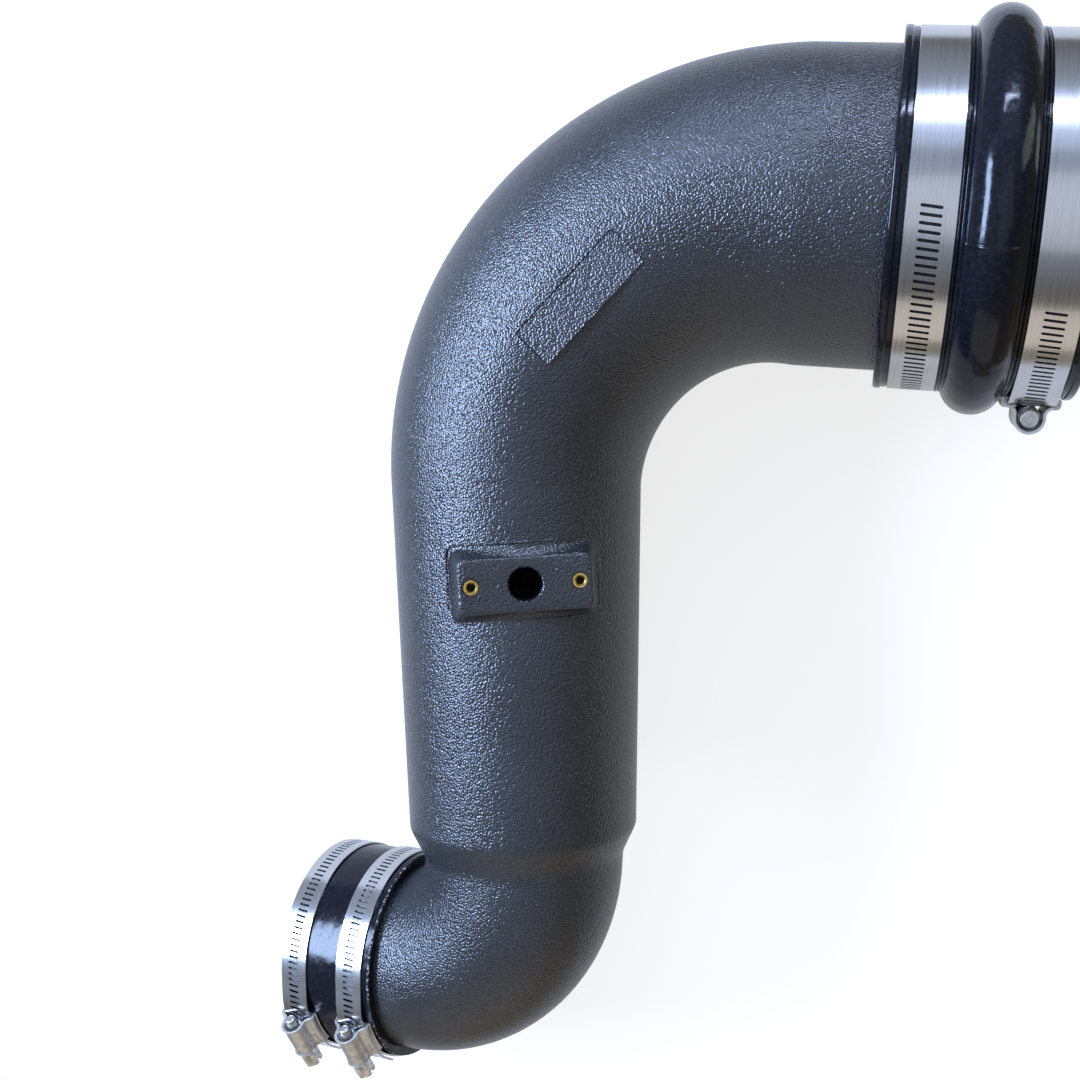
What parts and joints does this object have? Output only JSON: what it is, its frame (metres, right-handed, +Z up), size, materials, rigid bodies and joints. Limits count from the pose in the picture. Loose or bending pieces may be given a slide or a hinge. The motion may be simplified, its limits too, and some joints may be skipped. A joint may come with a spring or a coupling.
{
  "type": "cold air intake pipe",
  "caption": "Bent moulded air intake pipe, tapering from a humped hose at its large end to a plain hose at its small end, with worm-drive clamps and a sensor pad.",
  "frame": {"origin": "middle of the bounding box's bottom face, on the floor the pipe lies on", "axes": "+Z up from the floor; +Y roughly up the leg, from the small elbow to the wide bend; +X roughly out of the large end"},
  "size_m": [0.2476, 0.3082, 0.1092],
  "materials": {
    "duct_plastic": "moulded, fine pebble grain, satin",
    "hose_rubber": "smooth silicone, glossy",
    "band_steel": "rolled stainless strip, bright satin",
    "housing_steel": "stamped stainless, satin",
    "screw_steel": "plated steel, satin",
    "insert_brass": "turned brass"
  },
  "bodies": {
    "duct": {"intake_tube_mouth": "duct_plastic", "intake_tube_bend_top": "duct_plastic", "intake_tube_bend_middle": "duct_plastic", "intake_tube_bend_foot": "duct_plastic", "intake_tube_spigot": "duct_plastic", "intake_tube_elbow": "duct_plastic", "intake_tube_leg": "duct_plastic", "intake_tube_neck": "duct_plastic", "intake_tube_pad_back": "duct_plastic", "intake_tube_pad_left": "duct_plastic", "intake_tube_pad_right": "duct_plastic", "intake_tube_pad_middle": "duct_plastic", "upper_hump_hose": "hose_rubber", "lower_hose": "hose_rubber", "sensor_insert_left": "insert_brass", "sensor_insert_right": "insert_brass", "upper_inner_clamp_band": "band_steel", "upper_inner_clamp_saddle": "band_steel", "upper_inner_clamp_housing": "housing_steel", "lower_inner_clamp_band": "band_steel", "lower_inner_clamp_saddle": "band_steel", "lower_inner_clamp_housing": "housing_steel", "upper_outer_clamp_band": "band_steel", "upper_outer_clamp_saddle": "band_steel", "upper_outer_clamp_housing": "housing_steel", "lower_outer_clamp_band": "band_steel", "lower_outer_clamp_saddle": "band_steel", "lower_outer_clamp_housing": "housing_steel"},
    "upper_inner_screw": {"upper_inner_clamp_screw": "screw_steel"},
    "upper_outer_screw": {"upper_outer_clamp_screw": "screw_steel"},
    "lower_inner_screw": {"lower_inner_clamp_screw": "screw_steel"},
    "lower_outer_screw": {"lower_outer_clamp_screw": "screw_steel"}
  },
  "joints": [
    {"name": "upper_inner_screw_turn", "type": "hinge", "parent": "duct", "child": "upper_inner_screw", "pos_m": [0.07412, 0.05917, 0.0169], "axis": [0.1721, 0.6406, -0.7483], "continuous": true},
    {"name": "upper_outer_screw_turn", "type": "hinge", "parent": "duct", "child": "upper_outer_screw", "pos_m": [0.10015, 0.04331, 0.05522], "axis": [0.1472, 0.0184, -0.9889], "continuous": true},
    {"name": "lower_inner_screw_turn", "type": "hinge", "parent": "duct", "child": "lower_inner_screw", "pos_m": [-0.09986, -0.13938, 0.06811], "axis": [0.1791, -0.8748, -0.4501], "continuous": true},
    {"name": "lower_outer_screw_turn", "type": "hinge", "parent": "duct", "child": "lower_outer_screw", "pos_m": [-0.11818, -0.13998, 0.0606], "axis": [0.1846, -0.8662, -0.4643], "continuous": true}
  ]
}
